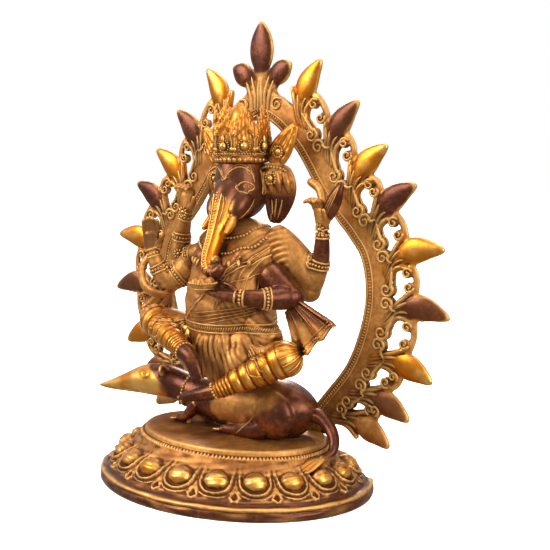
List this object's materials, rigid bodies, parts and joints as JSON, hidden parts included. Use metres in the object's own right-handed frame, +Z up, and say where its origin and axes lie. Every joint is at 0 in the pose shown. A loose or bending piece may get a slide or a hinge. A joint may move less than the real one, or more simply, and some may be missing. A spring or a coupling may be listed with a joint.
{
  "type": "seated deity statue",
  "caption": "Cast statue of a many-armed elephant-headed figure seated on a rat, on a hollow lotus base, with an openwork flame aureole that lifts out of two sockets.",
  "frame": {"origin": "middle of the bounding box on the surface that the base stands on", "axes": "+Z up, the figure faces -Y, its left hand side is +X"},
  "size_m": [0.2824, 0.111, 0.3007],
  "materials": {
    "antique_brass": "matt ochre antique brass with dark recesses and rubbed edges",
    "polished_brass": "polished bright brass",
    "maroon_patina": "dark maroon-brown lacquered patina, semi-gloss"
  },
  "bodies": {
    "statue": {"arm_front_left": "antique_brass", "arm_front_right": "antique_brass", "arm_rear_left": "antique_brass", "arm_rear_right": "antique_brass", "crown": "polished_brass", "crown_fan_left": "polished_brass", "crown_fan_right": "polished_brass", "ear_left": "antique_brass", "ear_right": "antique_brass", "head": "maroon_patina", "leg_left": "polished_brass", "leg_right": "polished_brass", "lotus_base": "antique_brass", "lotus_bud": "maroon_patina", "rat_body": "maroon_patina", "rat_rivet_front": "antique_brass", "rat_rivet_rear": "antique_brass", "rat_tail": "maroon_patina", "sash_left": "antique_brass", "sash_right": "antique_brass", "sweets_bowl": "polished_brass", "tie_nut": "antique_brass", "tie_rod": "antique_brass", "tie_washer": "antique_brass", "torso": "antique_brass"},
    "aureole": {"aureole": "antique_brass"}
  },
  "joints": [
    {"name": "aureole_lift", "type": "slide", "parent": "statue", "child": "aureole", "axis": [0, 0, 1], "range_m": [0, 0.01]}
  ]
}
